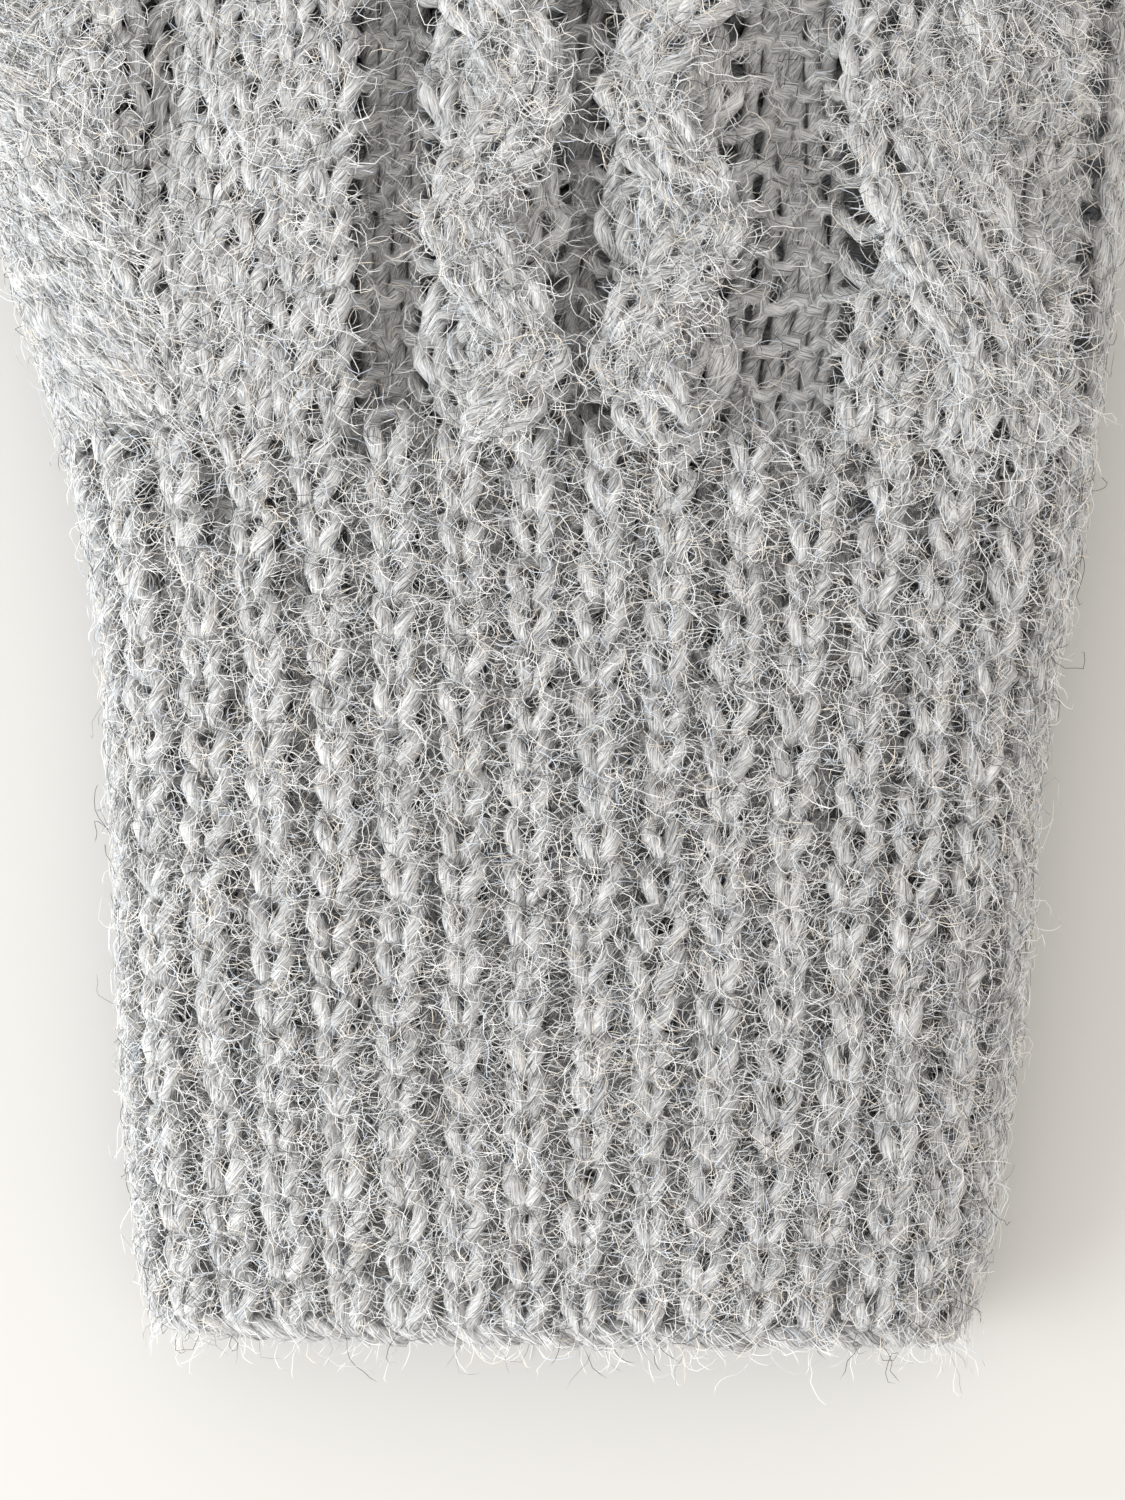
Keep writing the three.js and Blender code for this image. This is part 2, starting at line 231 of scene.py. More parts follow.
class Shell:
    """The outside of a tube of fabric, as places on a grid along it and round it.

    A place round the tube is a length of arc from the middle of its back, towards +X first."""

    STEP = 1.0  # between two rings
    ROUND = 384  # places on a ring
    BEAMS = 288  # rays cast at each ring
    CLEAR = 8.0  # a ray starts this far outside
    FAR = 300.0

    def __init__(self, nodes, start, end, turn=None, base=None):
        self.turn = np.eye(3) if turn is None else turn
        self.base = np.zeros(3) if base is None else base
        points, faces = node_points(nodes)
        local = (points - self.base) @ self.turn
        self.tree = BVHTree.FromPolygons([Vector(p) for p in local], faces)
        self.stations = np.arange(start + 0.4, end - 0.3, self.STEP)
        rings = np.array([self.ring(y) for y in self.stations])
        rings = soften(rings, 2.5 / self.STEP, "edge")
        self.lengths = np.array([lengths_along(np.vstack([ring, ring[:1]]))[-1] for ring in rings])
        self.thicknesses = rings[:, :, 1].max(1) - rings[:, :, 1].min(1)
        height = np.repeat(self.stations[:, None], self.ROUND, 1)
        self.grid = np.stack([rings[:, :, 0], height, rings[:, :, 1]], -1)
        along = np.gradient(self.grid, axis=0)
        around = np.roll(self.grid, -1, 1) - np.roll(self.grid, 1, 1)
        normals = normalized(np.cross(along, around))
        outward = self.grid - self.grid.mean(1, keepdims=True)
        self.normals = normals * np.sign((normals * outward).sum(-1).mean())

    def hit(self, start, aim):
        direction = (Vector(aim) - Vector(start)).normalized()
        found = self.tree.ray_cast(Vector(start), direction)[0]
        return np.array(found if found is not None else aim)

    def ring(self, y):
        """One ring's places (x, z), evenly spaced from the middle of the back."""
        top = self.hit((0, y, self.FAR), (0, y, 0))[2]
        low = self.hit((0, y, -self.FAR), (0, y, 0))[2]
        middle = low + 0.4 * (top - low)
        left = self.hit((-self.FAR, y, middle), (0, y, middle))[0]
        right = self.hit((self.FAR, y, middle), (0, y, middle))[0]
        centre, half, rise = (left + right) / 2, (right - left) / 2, (top - low) / 2
        angles = math.pi / 2 - TAU * np.arange(self.BEAMS) / self.BEAMS
        across = np.sign(np.cos(angles)) * np.abs(np.cos(angles)) ** 0.8
        up = np.sign(np.sin(angles)) * np.abs(np.sin(angles)) ** 0.8
        core = max(half - rise, 0)
        found = np.array([
            self.hit(
                (centre + (half + self.CLEAR) * c, y, middle + (rise + self.CLEAR) * s),
                (centre + core * c, y, middle),
            )
            for c, s in zip(across, up)
        ])[:, [0, 2]]
        steady = np.median([np.roll(found, shift, 0) for shift in (-2, -1, 0, 1, 2)], axis=0)
        closed = np.vstack([steady, steady[:1]])
        lengths = lengths_along(closed)
        near_top = np.arange(-self.BEAMS // 6, self.BEAMS // 6)
        signed = np.where(near_top < 0, lengths[near_top - 1] - lengths[-1], lengths[near_top])
        first = np.interp(0.0, steady[near_top, 0], signed)
        wanted = (first + lengths[-1] * np.arange(self.ROUND) / self.ROUND) % lengths[-1]
        even = np.stack([np.interp(wanted, lengths, closed[:, i]) for i in (0, 1)], -1)
        return soften(even, 2.0 * self.ROUND / lengths[-1], "wrap")

    def round_length(self, y):
        """Arc length once round the tube."""
        return np.interp(y, self.stations, self.lengths)

    def thickness(self, y):
        return np.interp(y, self.stations, self.thicknesses)

    def place(self, arc, y, proud):
        """Points standing proud of the shell at some arc lengths and distances along, and its normals."""
        arc, y, proud = np.broadcast_arrays(arc, y, proud)
        inside = np.clip(y, self.stations[0], self.stations[-1] - 1e-6)
        row = (inside - self.stations[0]) / self.STEP
        row0 = row.astype(int)
        column = (arc / self.round_length(inside) % 1.0) * self.ROUND
        column0 = column.astype(int) % self.ROUND
        column1 = (column0 + 1) % self.ROUND
        up = (row - row0)[..., None]
        right = (column % 1.0)[..., None]

        def mixed(grid):
            lower = grid[row0, column0] * (1 - right) + grid[row0, column1] * right
            upper = grid[row0 + 1, column0] * (1 - right) + grid[row0 + 1, column1] * right
            return lower * (1 - up) + upper * up

        normals = normalized(mixed(self.normals))
        points = mixed(self.grid) + normals * proud[..., None]
        points[..., 1] += y - inside
        return points @ self.turn.T + self.base, normals @ self.turn.T


@functools.cache
def mitten_form():
    """The hand below and above the fork of the thumb, and the thumb, whose own +Y runs along it."""
    tube = node_points(["thumb_tube"])[0].mean(0)
    crown, _ = node_points(["thumb_crown"])
    along = normalized((crown.mean(0) - tube) * (1, 1, 0))
    turn = np.array([[along[1], along[0], 0], [-along[0], along[1], 0], [0, 0, 1.0]])
    start = ((node_points(["thumb_root_rows"])[0] - tube) @ along).min()
    base = np.array([tube[0], tube[1], 0]) + along * start
    ends = {
        name: ((node_points([name])[0] - base) @ along).max() for name in THUMB_WALL
    }
    lower = Shell(HAND_WALL + ["thumb_root_rows"], 0, FORK + 4)
    upper = Shell(HAND_WALL, FORK - 2, TIP)
    thumb = Shell(THUMB_WALL, 0, ends["thumb_crown"], turn, base)
    return SimpleNamespace(
        lower=lower, upper=upper, thumb=thumb, ends=ends, base=base, along=along,
        slope=-along[0] / along[1],
    )


# ---------------------------------------------------------------- meshes


class MeshParts:
    """Collects the points and faces of one mesh."""

    def __init__(self):
        self.points = []
        self.strands = []
        self.quads = []
        self.triangles = []
        self.quad_shades = []
        self.triangle_shades = []
        self.size = 0

    def add(self, points, quads, triangles, strands=None, quad_shades=None, triangle_shades=None):
        self.points.append(points)
        self.strands.append(np.zeros((len(points), 3)) if strands is None else strands)
        self.quads.append(quads + self.size)
        self.triangles.append(triangles + self.size)
        self.quad_shades.append(np.zeros(len(quads), int) if quad_shades is None else quad_shades)
        self.triangle_shades.append(
            np.zeros(len(triangles), int) if triangle_shades is None else triangle_shades
        )
        self.size += len(points)

    def build(self, name, materials):
        points = to_frame(np.concatenate(self.points))
        points[:, 2] = np.maximum(points[:, 2], 0.05 * MM)
        quads = np.concatenate(self.quads)
        triangles = np.concatenate(self.triangles)
        sides = np.concatenate([np.full(len(quads), 4), np.full(len(triangles), 3)])
        mesh = bpy.data.meshes.new(name)
        mesh.vertices.add(len(points))
        mesh.vertices.foreach_set("co", points.astype(np.float32).ravel())
        loops = np.concatenate([quads.ravel(), triangles.ravel()])
        mesh.loops.add(len(loops))
        mesh.loops.foreach_set("vertex_index", loops.astype(np.int32))
        mesh.polygons.add(len(sides))
        mesh.polygons.foreach_set("loop_start", (np.cumsum(sides) - sides).astype(np.int32))
        mesh.polygons.foreach_set("loop_total", sides.astype(np.int32))
        shades = np.concatenate(self.quad_shades + self.triangle_shades)
        mesh.polygons.foreach_set("material_index", shades.astype(np.int32))
        mesh.polygons.foreach_set("use_smooth", np.ones(len(sides), bool))
        if any(part.any() for part in self.strands):
            strand = mesh.attributes.new("strand", "FLOAT_VECTOR", "POINT")
            strand.data.foreach_set("vector", np.concatenate(self.strands).astype(np.float32).ravel())
        mesh.update(calc_edges=True)
        for material in materials:
            mesh.materials.append(material)
        made = bpy.data.objects.new(name, mesh)
        bpy.context.scene.collection.objects.link(made)
        return made


SIDES = 8  # round a strand of yarn


def strand_sides(points, normals):
    """Two directions across a strand at each of its points: out of the fabric and sideways."""
    tangents = normalized(np.gradient(points, axis=0))
    up = normalized(normals - tangents * (normals * tangents).sum(-1, keepdims=True))
    return up, np.cross(tangents, up)


def yarn_tube(parts, points, normals, radii, along):
    """Adds an open strand of two-ply yarn that follows some points."""
    twist = bpy.context.scene.mitten_yarn.twist / MM
    count = len(points)
    up, side = strand_sides(points, normals)
    angle = TAU * np.arange(SIDES) / SIDES
    ply = angle[None, :] - TAU * along[:, None] / twist
    radius = radii[:, None] * (1 + 0.09 * np.cos(2 * ply))
    ring = (
        points[:, None]
        + up[:, None] * (np.cos(angle) * radius)[..., None]
        + side[:, None] * (np.sin(angle) * radius)[..., None]
    )
    strands = np.stack([np.broadcast_to(along[:, None], ply.shape), np.cos(ply), np.sin(ply)], -1)
    columns = np.arange(SIDES)
    beside = (columns + 1) % SIDES
    rows = SIDES * np.arange(count - 1)[:, None]
    quads = np.stack([rows + columns, rows + beside, rows + SIDES + beside, rows + SIDES + columns], -1)
    fan = np.array([[0, i, i + 1] for i in range(1, SIDES - 1)])
    ends = np.concatenate([fan[:, ::-1], fan + (count - 1) * SIDES])
    parts.add(ring.reshape(-1, 3), quads.reshape(-1, 4), ends, strands.reshape(-1, 3))


def fibre_tubes(parts, points, radius, shades):
    """Adds three-sided fibres, pointed at both ends, that follow rows of points."""
    count, steps = points.shape[:2]
    tangents = normalized(np.gradient(points, axis=1))
    side = normalized(np.cross(tangents, np.array([0.31, 0.23, 0.92])))
    up = np.cross(side, tangents)
    rings = [
        points[:, 1:-1] + (side * math.cos(turn) + up * math.sin(turn))[:, 1:-1] * radius
        for turn in (0, TAU / 3, 2 * TAU / 3)
    ]
    middle = np.stack(rings, 2).reshape(count, -1, 3)
    block = np.concatenate([points[:, :1], middle, points[:, -1:]], 1)
    inner = steps - 2
    tail = inner * 3 + 1
    first = ((tail + 1) * np.arange(count))[:, None, None]
    rows = 1 + 3 * np.arange(inner - 1)[:, None]
    columns = np.arange(3)
    beside = (columns + 1) % 3
    quads = np.stack([rows + columns, rows + beside, rows + 3 + beside, rows + 3 + columns], -1)
    quads = quads.reshape(1, -1, 4)
    last = tail - 3
    ends = np.array([[0, 1 + b, 1 + s] for s, b in zip(columns, beside)]
                    + [[tail, last + s, last + b] for s, b in zip(columns, beside)])
    parts.add(
        block.reshape(-1, 3),
        (first + quads).reshape(-1, 4),
        (first + ends[None]).reshape(-1, 3),
        quad_shades=np.repeat(shades, quads.shape[1]),
        triangle_shades=np.repeat(shades, len(ends)),
    )


# ---------------------------------------------------------------- stitches

STEPS = 12  # points along the yarn of one stitch
TURNS = -math.pi + TAU * (np.arange(STEPS) + 0.5) / STEPS
KNIT = 1.0
PURL = -1.0

# The chart of the back, outwards from the ladder on its axis: what, how many, how wide and how proud
LADDER = 3.0
LADDER_LIFT = -4.8
CENTRE_STITCH = 3.5
SIDE_STITCH = 4.1
RIGHT_OF_AXIS = [
    ("cable_centre_right", 4, CENTRE_STITCH, 0.9),
    ("channel", 3, 3.2, -3.6),
    ("cable_side", 6, SIDE_STITCH, 1.3),
    ("channel", 2, 2.9, -2.2),
]
LEFT_OF_AXIS = [
    ("cable_centre_left", 4, CENTRE_STITCH, 0.9),
    ("channel", 2, 3.3, -4.8),
    ("back", 5, 3.85, 0.2),
]
PLAIN = 3.9  # width of a plain stitch
WAVE = 12.75  # a centre cable's strands cross once in this length
WAVE_START = 117.6
WAVE_HALF = 3.8  # how far a strand sways from the middle of its cable
ROPE = 34.0  # the side cable's strands cross once in this length
ROPE_START = 108.5
ROPE_HALF = 11.0  # half the length of its crossing
ROPE_MIDDLE = LADDER / 2 + 4 * CENTRE_STITCH + 3 * 3.2 + 3 * SIDE_STITCH
ROPE_EDGE = 3 * SIDE_STITCH
RIB_KNIT = (0.64, 0.45)  # share of a rib pair's width, and how proud
RIB_PURL = (0.36, -2.7)
GROOVE_X = -41.5  # between the gusset and the back
GUSSET_X = -51.0  # middle of the gusset's rise
FAN_REACH = 12.0  # how far from the gusset's middle a round takes up its growth


class Columns:
    """The stitches of one round: each one's place, width, face and lift, and where the chart has it."""

    FIELDS = ("centre", "width", "face", "lift", "name", "index", "place")

    def __init__(self):
        self.rows = []

    def add(self, start, count, width, face, lift, name):
        """Adds stitches side by side from start and returns where they end."""
        strand = 3 if name == "cable_side" else 2
        for i in range(count):
            place = (i % strand - (strand - 1) / 2) * width
            self.rows.append((start + width * (i + 0.5), width, face, lift, name, i, place))
        return start + width * count

    def sorted_round(self, round_length, start=None):
        """The stitches as arrays, in order from start, which is the middle of the palm if left out.

        A round that starts elsewhere keeps its columns at their own distance from the axis."""
        self.fanned = start is None
        first = -round_length / 2 if start is None else start
        ordered = sorted(self.rows, key=lambda row: (row[0] - first) % round_length)
        for field, values in zip(self.FIELDS, zip(*ordered)):
            setattr(self, field, np.array(values))
        self.centre = first + (self.centre - first) % round_length
        return self


def rib_columns(shell, v):
    """One-by-one rib: the knit stitches stand out and half hide the purl ones."""
    columns = Columns()
    pairs = bpy.context.scene.mitten_yarn.rib_pairs
    length = shell.round_length(v)
    pitch = length / pairs
    at = 0.07 * pitch
    for _ in range(pairs):
        at = columns.add(at, 1, pitch * RIB_KNIT[0], KNIT, RIB_KNIT[1], "rib")
        at = columns.add(at, 1, pitch * RIB_PURL[0], PURL, RIB_PURL[1], "rib_purl")
    return columns.sorted_round(length)


def hand_columns(shell, v):
    """The cabled back, the plain palm and, below the fork, the gusset between them."""
    form = mitten_form()
    columns = Columns()
    length = shell.round_length(v)
    above = form.upper.round_length(FORK + 4)
    plain = length
    if shell is form.lower and v > GUSSET_START:
        share = smooth_step(v, GUSSET_START, FORK)
        plain = (1 - share) * shell.round_length(GUSSET_START) + share * above
    drawn_in = min(1.0, plain / form.upper.round_length(HAND_END))
    columns.add(-LADDER / 2 * drawn_in, 1, LADDER * drawn_in, PURL, LADDER_LIFT, "channel")
    at = LADDER / 2 * drawn_in
    for name, count, width, lift in RIGHT_OF_AXIS:
        face = PURL if name == "channel" else KNIT
        at = columns.add(at, count, width * drawn_in, face, lift, name)
    left = (LADDER / 2 + sum(count * width for _, count, width, _ in LEFT_OF_AXIS)) * drawn_in
    palm = plain - at - left
    stitches = max(1, round(palm / PLAIN))
    at = columns.add(at, stitches, palm / stitches, KNIT, 0.0, "palm")
    gusset = length - left - at
    if gusset > 1.0:
        stitches = max(1, round(gusset / PLAIN))
        at = columns.add(at, stitches, gusset / stitches, KNIT, 0.3, "gusset")
    for name, count, width, lift in reversed(LEFT_OF_AXIS):
        face = PURL if name == "channel" else KNIT
        at = columns.add(at, count, width * drawn_in, face, lift, name)
    return columns.sorted_round(length, start=-left - max(gusset, 0) / 2)


def plain_columns(shell, v, name):
    """Knit stitches all round."""
    columns = Columns()
    length = shell.round_length(v)
    stitches = max(6, round(length / PLAIN))
    columns.add(0.0, stitches, length / stitches, KNIT, 0.0, name)
    return columns.sorted_round(length)


def fan_out(arc, v, shell, row):
    """Where the stitches of a round lie at v, when the round is wider there than at its own row."""
    form = mitten_form()
    if shell is not form.lower:
        return arc * shell.round_length(v) / shell.round_length(row)
    low = arc.min()
    high = low + shell.round_length(row)
    out = np.clip(1 - (high - arc) / FAN_REACH, 0, 1) - np.clip(1 - (arc - low) / FAN_REACH, 0, 1)
    return arc + 0.5 * out * (shell.round_length(v) - shell.round_length(row))


def cable_slope(columns, row):
    """The angle at which a cable's strands cross the hand at a row."""
    after = cable_move(columns.name, columns.index, row, np.full(len(columns.name), row + 0.5))[0]
    before = cable_move(columns.name, columns.index, row, np.full(len(columns.name), row - 0.5))[0]
    return np.arctan(after - before)


def cable_move(name, index, row, v):
    """How far round and how proud a cable's strands carry their stitches at height v.

    row is the round's own height, which says which strand each stitch is in."""
    slide = np.zeros_like(v)
    rise = np.zeros_like(v)
    phase = math.pi * (v - WAVE_START) / WAVE
    row_sway = math.sin(math.pi * (row - WAVE_START) / WAVE)
    for side, label in ((1, "cable_centre_left"), (-1, "cable_centre_right")):
        mine = name == label
        on_right = index >= 2
        front = on_right == (side * row_sway > 0)
        strand = np.where(front, side, -side) * np.sin(phase) * WAVE_HALF
        home = np.where(on_right, CENTRE_STITCH, -CENTRE_STITCH)
        slide = np.where(mine, strand - home, slide)
        crossed = np.cos(phase) ** 2
        lifted = np.where(front, 1.4 + 0.4 * crossed, -1.6 - 0.4 * crossed)
        rise = np.where(mine, lifted, rise)
    mine = name == "cable_side"
    middle = ROPE_START + round((row - ROPE_START) / ROPE) * ROPE
    on_right = index >= 3
    front = on_right == (row < middle)
    width = 1.5 * SIDE_STITCH
    strand = np.where(front, -1, 1) * np.tanh((v - middle) / (ROPE_HALF * 0.6)) * width
    home = np.where(on_right, width, -width)
    crossing = np.exp(-(((v - middle) / ROPE_HALF) ** 2))
    within = (index % 3 - 1) * SIDE_STITCH
    slide = np.where(mine, strand - home + 0.45 * crossing * within, slide)
    rise = np.where(mine, np.where(front, 2.8, -1.4) * crossing, rise)
    return slide, rise


def drawn_towards_rope(arc, v):
    """How far the fabric beside the side cable is drawn in by its crossings."""
    middle = ROPE_START + np.round((v - ROPE_START) / ROPE) * ROPE
    crossing = np.exp(-(((v - middle) / ROPE_HALF) ** 2)) * smooth_step(v, WRIST_END, WRIST_END + 6)
    off = arc - ROPE_MIDDLE
    share = np.where(np.abs(off) < ROPE_EDGE, off / ROPE_EDGE,
                     np.sign(off) * np.exp(-(np.abs(off) - ROPE_EDGE) / 8.0))
    return -1.9 * crossing * share


def relief(x, v):
    """Rises and hollows where the gusset meets the back of the hand."""
    started = smooth_step(v, GUSSET_START + 6, GUSSET_START + 22)
    groove = -4.2 * np.exp(-(((x - GROOVE_X) / 2.6) ** 2)) * started
    groove = groove + 1.6 * np.exp(-(((x - GUSSET_X) / 5.0) ** 2)) * started
    ridge_x = GROOVE_X - 0.72 * (v - GUSSET_START)
    grown = smooth_step(v, GUSSET_START, GUSSET_START + 5)
    return groove + 1.1 * grown * np.exp(-(((x - ridge_x) / 2.4) ** 2))


class KnitRound:
    """The path of the yarn through one round of stitches."""

    def __init__(self, section, shell, columns, row, rng, wander):
        yarn = bpy.context.scene.mitten_yarn
        form = mitten_form()
        count = len(columns.centre)
        length = shell.round_length(row)
        inset = min(INSET, 0.3 * shell.thickness(row))
        turns = TURNS[None, :]
        share = 0.5 * smooth_step(np.abs(turns) / math.pi, 0.55, 1.0)
        beside = (np.arange(count)[:, None] + np.where(turns > 0, 1, -1)) % count

        def eased(values):
            return values[:, None] * (1 - share) + values[beside] * share

        jitter = rng.normal(size=(4, count))
        face = eased(columns.face)
        v = row + yarn.reach / MM * (1 + 0.05 * jitter[1])[:, None] * np.cos(turns)
        v = v + 0.22 * jitter[2][:, None] * (1 - 2 * share)
        width = columns.width[:, None]
        lean = np.where(columns.face > 0, 0.25, 0.15)[:, None]
        arc = columns.centre[:, None] + width * turns / TAU + lean * width * np.sin(2 * turns)
        arc = arc + wander(arc / length, v)
        if columns.fanned:
            arc = fan_out(arc, v, shell, row)
        slide, rise = cable_move(columns.name[:, None], columns.index[:, None], row, v)
        slide_beside, rise_beside = cable_move(columns.name[beside], columns.index[beside], row, v)
        slope = cable_slope(columns, row)[:, None]
        place = columns.place[:, None]
        across = place + arc - columns.centre[:, None]
        across_beside = place[beside, 0] - np.sign(turns) * width[beside, 0] / 2
        v = v - np.sin(slope) * across * (1 - share) - np.sin(slope[beside, 0]) * across_beside * share
        arc = arc - (1 - np.cos(slope)) * across * (1 - share)
        arc = arc + slide * (1 - share) + slide_beside * share
        if section in ("hand", "knuckle_rows", "fingers"):
            arc = arc + drawn_towards_rope(arc, v)
        proud = eased(columns.lift + 0.13 * jitter[0]) + rise * (1 - share) + rise_beside * share
        proud = proud - face * yarn.depth / MM * np.cos(2 * turns) - inset
        if shell is form.lower:
            x = shell.place(arc, v, proud)[0][..., 0]
            proud = proud + relief(x, v)
            drooping = smooth_step(v, GUSSET_START + 4, FORK) * form.slope
            v = v - drooping * np.maximum(0, -43 - x)
        if section == "wrist_rows" and row > WRIST_END - 1.5 * yarn.row_height / MM:
            proud = proud - 2.2 * smooth_step(v, row, row + yarn.reach / MM)
        plump = 1 - 0.10 * np.cos(2 * turns) + 0.05 * jitter[3][:, None]
        bulk = np.where(width > 3.0, 1.0, 0.92)
        self.section = section
        self.shell = shell
        self.names = columns.name
        self.arc = arc.ravel()
        self.v = v.ravel()
        self.proud = proud.ravel()
        self.radius = (yarn.radius / MM * plump * bulk).ravel()
        self.top = np.repeat((proud.max(1) + yarn.radius / MM), STEPS)
        self.points, self.normals = shell.place(self.arc, self.v, self.proud)
        self.points[:, 2] = np.maximum(self.points[:, 2], self.radius * 1.05)
        self.along = lengths_along(self.points) + rng.uniform(0, 1000)

    def runs(self):
        """The samples of each stretch of stitches that belong to one piece: (piece, indices)."""
        labels = [piece_of(self.section, name) for name in self.names]
        starts = [i for i in range(len(labels)) if labels[i] != labels[i - 1]] or [0]
        for start, end in zip(starts, starts[1:] + [starts[0] + len(labels)]):
            samples = np.arange(start * STEPS, end * STEPS + 1) % len(self.arc)
            yield labels[start], samples


def piece_of(section, stitch):
    """The piece that a stitch belongs to."""
    if section == "hand":
        named = {"palm": "palm", "gusset": "thumb_gusset", "channel": "hand_back", "back": "hand_back"}
        return named.get(stitch, stitch + "_lower")
    if section == "fingers":
        named = {"palm": "finger_palm", "channel": "finger_back", "back": "finger_back"}
        return named.get(stitch, stitch + "_upper")
    return section


def wandering(rng, amount):
    """A slow, smooth drift of the columns, the same for every row of a tube."""
    waves = [(rng.integers(3, 40), rng.uniform(15, 60), rng.uniform(0, TAU)) for _ in range(14)]

    def wander(turn, v):
        drift = sum(np.sin(TAU * (count * turn + v / long) + start) for count, long, start in waves)
        return amount * drift / math.sqrt(len(waves))

    return wander


@functools.cache
def knitted_rounds():
    """All the rounds of the mitten, from the cast-on edge to the two tips."""
    form = mitten_form()
    rng = np.random.default_rng(11)
    wander = wandering(rng, 0.42)
    row = bpy.context.scene.mitten_yarn.row_height / MM
    rounds = []
    v = EDGE_END * 0.75
    while v < FORK:
        section = (
            "cast_on_edge" if v < EDGE_END else "ribbed_cuff" if v < CUFF_END
            else "wrist_rows" if v < WRIST_END - row / 2 else "hand"
        )
        columns = hand_columns(form.lower, v) if section == "hand" else rib_columns(form.lower, v)
        rounds.append(KnitRound(section, form.lower, columns, v + 0.12 * rng.normal(), rng, wander))
        v += row
    thumb_start = v - FORK
    while v < TIP - 1.8:
        section = (
            "hand" if v < HAND_END else "knuckle_rows" if v < KNUCKLE_END
            else "fingers" if v < FINGER_END - row / 2 else "fingertip_crown"
        )
        if section == "fingertip_crown":
            columns = plain_columns(form.upper, v, "crown")
        else:
            columns = hand_columns(form.upper, v)
        rounds.append(KnitRound(section, form.upper, columns, v + 0.12 * rng.normal(), rng, wander))
        v += row
    wander = wandering(rng, 0.2)
    for v in np.arange(thumb_start, form.ends["thumb_crown"] - 1.2, row):
        section = next(name for name in THUMB_WALL if v < form.ends[name])
        rounds.append(KnitRound(section, form.thumb, plain_columns(form.thumb, v, "plain"), v, rng, wander))
    return rounds


@functools.cache
def knitted_parts():
    """The yarn of every knitted piece, by the name of the CAD node that it stands for."""
    found = {}
    for knit in knitted_rounds():
        for name, samples in knit.runs():
            along = knit.along[samples[0]] + lengths_along(knit.points[samples])
            parts = found.setdefault(name, MeshParts())
            yarn_tube(parts, knit.points[samples], knit.normals[samples], knit.radius[samples], along)
    return found


# ---------------------------------------------------------------- materials


def new_material(name):
    """A material with its Principled shader and a way to add linked nodes."""
    material = bpy.data.materials.new(name)
    material.use_nodes = True
    tree = material.node_tree
    shader = tree.nodes["Principled BSDF"]

    def node(kind, inputs=None, **values):
        made = tree.nodes.new(kind)
        for key, value in values.items():
            setattr(made, key, value)
        for key, value in (inputs or {}).items():
            if isinstance(value, bpy.types.NodeSocket):
                tree.links.new(value, made.inputs[key])
            else:
                made.inputs[key].default_value = value
        return made

    return material, shader, node, tree.links.new


def colour(value):
    return (*value, 1.0)


def wool_finish(shader):
    shader.inputs["Roughness"].default_value = 0.92
    shader.inputs["Specular IOR Level"].default_value = 0.25
    shader.inputs["Sheen Weight"].default_value = 0.25
    shader.inputs["Sheen Roughness"].default_value = 0.6


@functools.cache
def yarn_material():
    """Marled wool: fine streaks of pale and dark fibres that wind along the yarn."""
    colours = bpy.context.scene.mitten_colours
    material, shader, node, link = new_material("marled_wool")
    strand = node("ShaderNodeAttribute", attribute_name="strand").outputs["Vector"]
    streak_place = node("ShaderNodeMapping", {"Vector": strand, "Scale": (0.4, 3.4, 3.4)})
    streaks = node(
        "ShaderNodeTexNoise",
        {"Vector": streak_place.outputs[0], "Scale": 1.6, "Detail": 5.0, "Roughness": 0.68},
    )
    tone_place = node("ShaderNodeMapping", {"Vector": strand, "Scale": (0.16, 0.5, 0.5)})
    tones = node(
        "ShaderNodeTexNoise", {"Vector": tone_place.outputs[0], "Scale": 1.0, "Detail": 2.0}
    )
    mixed = node(
        "ShaderNodeMath", {0: tones.outputs["Fac"], 1: 0.22, 2: streaks.outputs["Fac"]},
        operation="MULTIPLY_ADD",
    )
    ramp = node("ShaderNodeValToRGB", {"Fac": mixed.outputs[0]})
    stops = ramp.color_ramp.elements
    stops[0].position, stops[0].color = 0.45, colour(colours.dark)
    stops[1].position, stops[1].color = 0.74, colour(colours.white)
    for position, value in ((0.53, colours.middle), (0.62, colours.light)):
        stops.new(position).color = colour(value)
    link(ramp.outputs[0], shader.inputs["Base Color"])
    bump = node("ShaderNodeBump", {"Height": streaks.outputs["Fac"], "Strength": 0.8, "Distance": 0.0005})
    link(bump.outputs[0], shader.inputs["Normal"])
    wool_finish(shader)
    return material


@functools.cache
def fibre_materials():
    """The shades of the loose fibres, each a plain colour."""
    colours = bpy.context.scene.mitten_colours
    warm = tuple(np.array(colours.white) * (1.0, 0.90, 0.78))
    cool = tuple(np.array(colours.white) * (0.78, 0.87, 1.0))
    shades = {
        "white": colours.white, "light": colours.light, "middle": colours.middle,
        "dark": colours.dark, "warm": warm, "cool": cool,
    }
    made = []
    for name, value in shades.items():
        material, shader, _, _ = new_material(f"fibre_{name}")
        shader.inputs["Base Color"].default_value = colour(value)
        shader.inputs["Roughness"].default_value = 0.45
        made.append(material)
    return made


def table_material():
    material, shader, node, link = new_material("table")
    tint = bpy.context.scene.mitten_stage.table
    place = node("ShaderNodeTexCoord").outputs["Object"]
    noise = node("ShaderNodeTexNoise", {"Vector": place, "Scale": 1.2, "Detail": 3.0})
    ramp = node("ShaderNodeValToRGB", {"Fac": noise.outputs["Fac"]})
    ramp.color_ramp.elements[0].color = colour(np.array(tint) * 0.985)
    ramp.color_ramp.elements[1].color = colour(tint)
    link(ramp.outputs[0], shader.inputs["Base Color"])
    shader.inputs["Roughness"].default_value = 0.8
    return material


# ---------------------------------------------------------------- pieces


